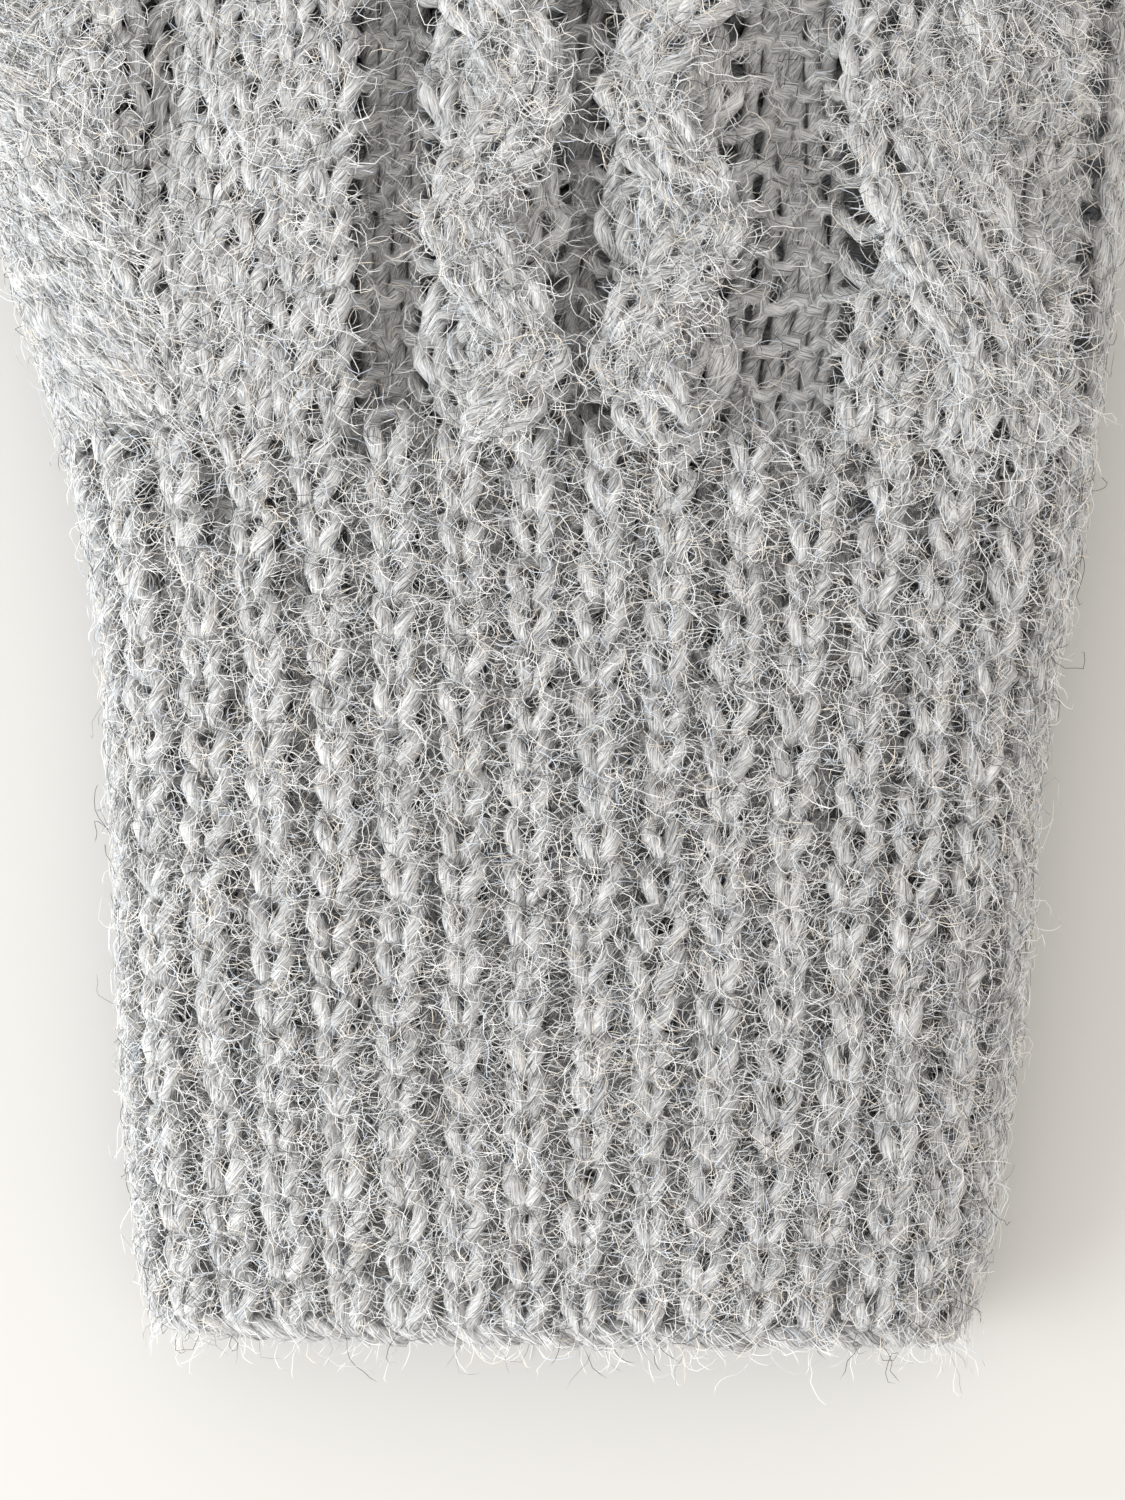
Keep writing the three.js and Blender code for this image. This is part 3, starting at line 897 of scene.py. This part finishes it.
def bend(made):
    """Bakes a piece's placement into its mesh; the piece is not bent at any joint."""
    form = mitten_form()
    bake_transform(made)


def knit_piece(node, joint=None, body=None):
    """Builds the knitted piece that stands for a CAD node."""
    made = knitted_parts()[node].build(node + "_knit", [yarn_material()])
    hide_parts(node)
    if joint:
        bend(made)
    else:
        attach(made, body)
    return made


def cast_on():
    """The cast-on edge: two strands twisted round each other under the first row."""
    form = mitten_form()
    parts = knitted_parts()["cast_on_edge"]
    pitch = form.lower.round_length(2) / (2 * bpy.context.scene.mitten_yarn.rib_pairs)
    turns = np.arange(0, form.lower.round_length(2), pitch / 8)
    rng = np.random.default_rng(3)
    for side in (0, math.pi):
        swing = math.pi * turns / pitch + side
        waver = np.interp(turns, turns[::12], rng.normal(0, 0.15, len(turns[::12])))
        v = 1.1 + 0.72 * np.cos(swing) + waver
        proud = 0.72 * np.sin(swing) - INSET - 0.4
        points, normals = form.lower.place(turns + form.lower.round_length(2) / 2, v, proud)
        points[:, 2] = np.maximum(points[:, 2], 1.1)
        yarn_tube(parts, points, normals, np.full(len(points), 0.8), lengths_along(points))
    knit_piece("cast_on_edge", body="cuff")


def ring_and_tails():
    """The drawn-up rings inside the two tips and the woven-in ends of yarn."""
    bodies = {
        "fingertip_gather": "fingers", "thumb_gather": "thumb",
        "cast_on_tail": "cuff", "fingertip_tail": "fingers", "thumb_tail": "thumb",
    }
    for node, body in bodies.items():
        points, _ = node_points([node])
        middle = points.mean(0)
        spread = points - middle
        _, _, axes = np.linalg.svd(spread, full_matrices=False)
        long, wide = axes[0], axes[1]
        reach = np.abs(spread @ long).max() - 1.2
        if node.endswith("tail"):
            t = np.linspace(-1, 1, 60)
            path = middle + np.outer(t * reach, long) + np.outer(0.45 * np.sin(9 * t), wide)
        else:
            t = np.linspace(0, 2.2 * TAU, 80)
            drawn = reach - 0.35 * t / TAU
            path = middle + np.outer(drawn * np.cos(t), long) + np.outer(drawn * np.sin(t), wide)
            path[:, 2] += 0.5 * np.sin(t / 2)
        parts = MeshParts()
        up = np.tile([0.0, 0.0, 1.0], (len(path), 1))
        yarn_tube(parts, path, up, np.full(len(path), 0.95), lengths_along(path))
        made = parts.build(node + "_yarn", [yarn_material()])
        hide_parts(node)
        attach(made, body)


# ---------------------------------------------------------------- fuzz

NAP_LENGTH = (2.0, 4.6)
STRAY_LENGTH = (4.0, 8.5)
BAND = 12.0  # height of a band of fuzz
# Share of each shade among the fibres: white, light, middle, dark, warm, cool
SHADE_SHARES = (0.58, 0.15, 0.06, 0.10, 0.06, 0.05)


def fuzz_share(knit):
    """How fuzzy each place of a round is: most on the back of the cuff, least where the palm rests."""
    worn = 1 - 0.45 * smooth_step(knit.points[:, 1], 142, 168)
    return worn * (0.15 + 0.85 * smooth_step(knit.normals[:, 2], -0.5, 0.3))


def cling_fibres(parts, knit, rng, per_stitch, steps):
    """Grows fibres that lie along the yarn, wound with its plies and a little proud of it."""
    facing = fuzz_share(knit)
    count = int(per_stitch * len(knit.names) * facing.mean())
    root = rng.choice(len(knit.arc) - steps, count, p=facing[:-steps] / facing[:-steps].sum())
    follow = root[:, None] + np.arange(steps)[None, :]
    up, side = strand_sides(knit.points, knit.normals)
    twist = bpy.context.scene.mitten_yarn.twist / MM
    share = np.linspace(0, 1, steps)[None, :]
    turn = rng.normal(0, 1.0, (count, 1)) + rng.normal(0.9, 0.5, (count, 1)) * share
    turn = turn + TAU * (knit.along[follow] - knit.along[root][:, None]) / twist * 0.5
    stand = 0.98 + rng.gamma(1.5, 0.14, (count, 1)) * share ** 1.5
    radius = (knit.radius[follow] * stand)[..., None]
    points = knit.points[follow] + radius * (
        up[follow] * np.cos(turn)[..., None] + side[follow] * np.sin(turn)[..., None]
    )
    points[..., 2] = np.maximum(points[..., 2], 0.12)
    shades = rng.choice(len(SHADE_SHARES), count, p=SHADE_SHARES)
    fibre_tubes(parts, points, bpy.context.scene.mitten_fuzz.radius / MM, shades)


def grow_fibres(parts, knit, rng, per_stitch, steps, length, lift, curl):
    """Grows loose fibres from one round: they start on the yarn, run near its surface and curl."""
    facing = fuzz_share(knit)
    raised = np.exp(0.9 * np.clip(knit.proud - knit.proud.mean(), -1.9, 0.7))
    weights = facing * raised
    count = int(per_stitch * len(knit.names) * facing.mean())
    root = rng.choice(len(knit.arc), count, p=weights / weights.sum())
    following = (root + 1) % len(knit.arc)
    heading = np.arctan2(knit.v[following] - knit.v[root], knit.arc[following] - knit.arc[root])
    heading += rng.normal(0, 0.6, count) + math.pi * rng.integers(0, 2, count)
    turn = rng.uniform(-1.9, 1.9, count)
    radius = knit.radius[root]
    long = rng.uniform(*length, count)
    step = (long / (steps - 1))[:, None]
    bending = rng.normal(0, curl, (count, 1)) + rng.normal(0, curl, (count, steps))
    bends = np.cumsum(bending * step, 1) + heading[:, None]
    arc = np.cumsum(np.cos(bends) * step, 1) + knit.arc[root][:, None]
    v = np.cumsum(np.sin(bends) * step, 1) + knit.v[root][:, None]
    arc -= (np.sin(heading) * np.sin(turn) * radius)[:, None]
    v += (np.cos(heading) * np.sin(turn) * radius)[:, None]
    share = np.linspace(0, 1, steps)[None, :]
    wave = rng.uniform(0, TAU, (count, 1))
    start = (knit.proud[root] + radius * np.cos(turn) * 0.95)[:, None]
    over = knit.top[root][:, None] + rng.gamma(1.4, lift, (count, 1)) - 0.35
    over = over + 0.3 * lift * np.sin(wave + share * long[:, None] * 0.9)
    proud = start + (over - start) * np.minimum(1, 1.8 * share) ** 0.7
    points, _ = knit.shell.place(arc, v, proud)
    points[..., 2] = np.maximum(points[..., 2], 0.12)
    shades = rng.choice(len(SHADE_SHARES), count, p=SHADE_SHARES)
    fibre_tubes(parts, points, bpy.context.scene.mitten_fuzz.radius / MM, shades)


def fuzz_name(knit):
    """The fuzz piece of a round: bands of rounds, so that each piece stays light."""
    bands = {
        "cast_on_edge": "cuff", "ribbed_cuff": "cuff", "wrist_rows": "cuff",
        "hand": "hand", "knuckle_rows": "finger", "fingers": "finger", "fingertip_crown": "finger",
    }
    part = bands.get(knit.section, "thumb")
    band = int(np.median(knit.v) // BAND)
    return part, f"{part}_fuzz_{band}"


def brush():
    fuzz = bpy.context.scene.mitten_fuzz
    rng = np.random.default_rng(29)
    found = {}
    for knit in knitted_rounds():
        part, name = fuzz_name(knit)
        parts = found.setdefault((part, name), MeshParts())
        cling_fibres(parts, knit, rng, fuzz.cling, 4)
        grow_fibres(parts, knit, rng, fuzz.nap, 5, NAP_LENGTH, 0.22, 0.45)
        grow_fibres(parts, knit, rng, fuzz.strays, 9, STRAY_LENGTH, 0.45, 0.5)
    for (part, name), parts in found.items():
        made = parts.build(name, fibre_materials())
        bend(made)


# ---------------------------------------------------------------- stage

KEY_PLACE = (-0.97, -0.36, 0.43)
CAMERA_OVER = (-0.85, 59.5, 0)  # the place on the mitten under the camera
CAMERA_HEIGHT = 0.369
CAMERA_ROLL = 1.08


def set_stage():
    stage = bpy.context.scene.mitten_stage
    bpy.ops.mesh.primitive_plane_add(size=30.0)
    floor = bpy.context.object
    floor.name = "table"
    floor.data.materials.append(table_material())
    bpy.context.scene.view_settings.view_transform = "Standard"
    world = bpy.data.worlds.new("room")
    bpy.context.scene.world = world
    world.use_nodes = True
    background = world.node_tree.nodes["Background"]
    background.inputs["Color"].default_value = (1.0, 0.955, 0.89, 1.0)
    background.inputs["Strength"].default_value = stage.room
    light = bpy.data.lights.new("key", "AREA")
    light.shape = "DISK"
    light.size = 0.9
    light.energy = stage.key
    light.color = (0.93, 0.975, 1.0)
    key = bpy.data.objects.new("key", light)
    key.location = KEY_PLACE
    key.rotation_euler = (Vector((0, -0.06, 0)) - key.location).to_track_quat("-Z", "Y").to_euler()
    bpy.context.scene.collection.objects.link(key)
    lens = bpy.data.cameras.new("camera")
    lens.lens = stage.lens
    lens.sensor_width = 36.0
    camera = bpy.data.objects.new("camera", lens)
    camera.location = (*to_frame(CAMERA_OVER)[:2], CAMERA_HEIGHT)
    camera.rotation_euler = (0, 0, math.radians(CAMERA_ROLL))
    bpy.context.scene.collection.objects.link(camera)
    bpy.context.scene.camera = camera


class MITTEN_OT_cast_on(bpy.types.Operator):
    """Casts on: the twisted edge and the first row"""

    bl_idname = "mitten.cast_on"
    bl_label = "Cast on"

    def execute(self, context):
        cast_on()
        return {"FINISHED"}


class MITTEN_OT_knit_cuff(bpy.types.Operator):
    """Knits the ribbed cuff and the wrist rows"""

    bl_idname = "mitten.knit_cuff"
    bl_label = "Knit the cuff"

    def execute(self, context):
        knit_piece("ribbed_cuff", joint="wrist")
        knit_piece("wrist_rows", joint="wrist")
        return {"FINISHED"}


class MITTEN_OT_knit_hand(bpy.types.Operator):
    """Knits the palm, the back, the thumb gusset and the knuckle rows"""

    bl_idname = "mitten.knit_hand"
    bl_label = "Knit the hand"

    def execute(self, context):
        for node in ("palm", "hand_back", "thumb_gusset"):
            knit_piece(node, joint="wrist")
        knit_piece("knuckle_rows", joint="knuckle")
        return {"FINISHED"}


class MITTEN_OT_knit_cables(bpy.types.Operator):
    """Knits the three cables of the back"""

    bl_idname = "mitten.knit_cables"
    bl_label = "Knit the cables"

    def execute(self, context):
        for cable in ("cable_centre_left", "cable_centre_right", "cable_side"):
            knit_piece(cable + "_lower", joint="wrist")
            knit_piece(cable + "_upper", joint="knuckle")
        return {"FINISHED"}


class MITTEN_OT_knit_fingers(bpy.types.Operator):
    """Knits the finger tube and its crown"""

    bl_idname = "mitten.knit_fingers"
    bl_label = "Knit the fingers"

    def execute(self, context):
        knit_piece("finger_palm", joint="knuckle")
        knit_piece("finger_back", joint="knuckle")
        knit_piece("fingertip_crown", body="fingers")
        return {"FINISHED"}


class MITTEN_OT_knit_thumb(bpy.types.Operator):
    """Knits the thumb from its root rows to its crown"""

    bl_idname = "mitten.knit_thumb"
    bl_label = "Knit the thumb"

    def execute(self, context):
        for node in THUMB_WALL:
            knit_piece(node, joint="thumb")
        return {"FINISHED"}


class MITTEN_OT_fasten_off(bpy.types.Operator):
    """Draws up the tips and weaves in the ends"""

    bl_idname = "mitten.fasten_off"
    bl_label = "Fasten off"

    def execute(self, context):
        ring_and_tails()
        return {"FINISHED"}


class MITTEN_OT_brush(bpy.types.Operator):
    """Brushes up the haze of loose fibres"""

    bl_idname = "mitten.brush"
    bl_label = "Brush up the fuzz"

    def execute(self, context):
        brush()
        return {"FINISHED"}


class MITTEN_OT_stage(bpy.types.Operator):
    """Sets the table, the light and the camera"""

    bl_idname = "mitten.stage"
    bl_label = "Set the stage"

    def execute(self, context):
        set_stage()
        return {"FINISHED"}


STEPS_IN_ORDER = (
    MITTEN_OT_cast_on, MITTEN_OT_knit_cuff, MITTEN_OT_knit_hand, MITTEN_OT_knit_cables,
    MITTEN_OT_knit_fingers, MITTEN_OT_knit_thumb, MITTEN_OT_fasten_off, MITTEN_OT_brush,
    MITTEN_OT_stage,
)


class MITTEN_PT_sidebar(bpy.types.Panel):
    """Lists the steps of the mitten"""

    bl_label = "Knitted mitten"
    bl_idname = "MITTEN_PT_sidebar"
    bl_space_type = "VIEW_3D"
    bl_region_type = "UI"
    bl_category = "Mitten"

    def draw(self, context):
        for group in ("mitten_yarn", "mitten_colours", "mitten_fuzz", "mitten_stage"):
            settings = getattr(context.scene, group)
            box = self.layout.box()
            for name in settings.bl_rna.properties.keys():
                if name not in ("name", "rna_type"):
                    box.prop(settings, name)
        for step in STEPS_IN_ORDER:
            self.layout.operator(step.bl_idname)


GROUPS = {
    "mitten_yarn": MittenYarn, "mitten_colours": MittenColours,
    "mitten_fuzz": MittenFuzz, "mitten_stage": MittenStage,
}


def register():
    for group, kind in GROUPS.items():
        bpy.utils.register_class(kind)
        setattr(bpy.types.Scene, group, PointerProperty(type=kind))
    for kind in (*STEPS_IN_ORDER, MITTEN_PT_sidebar):
        bpy.utils.register_class(kind)


def unregister():
    for kind in (MITTEN_PT_sidebar, *reversed(STEPS_IN_ORDER)):
        bpy.utils.unregister_class(kind)
    for group, kind in reversed(GROUPS.items()):
        delattr(bpy.types.Scene, group)
        bpy.utils.unregister_class(kind)


def main():
    register()
    bpy.ops.mitten.cast_on()
    bpy.ops.mitten.knit_cuff()
    bpy.ops.mitten.knit_hand()
    bpy.ops.mitten.knit_cables()
    bpy.ops.mitten.knit_fingers()
    bpy.ops.mitten.knit_thumb()
    bpy.ops.mitten.fasten_off()
    bpy.ops.mitten.brush()
    bpy.ops.mitten.stage()


if __name__ == "__main__":
    main()
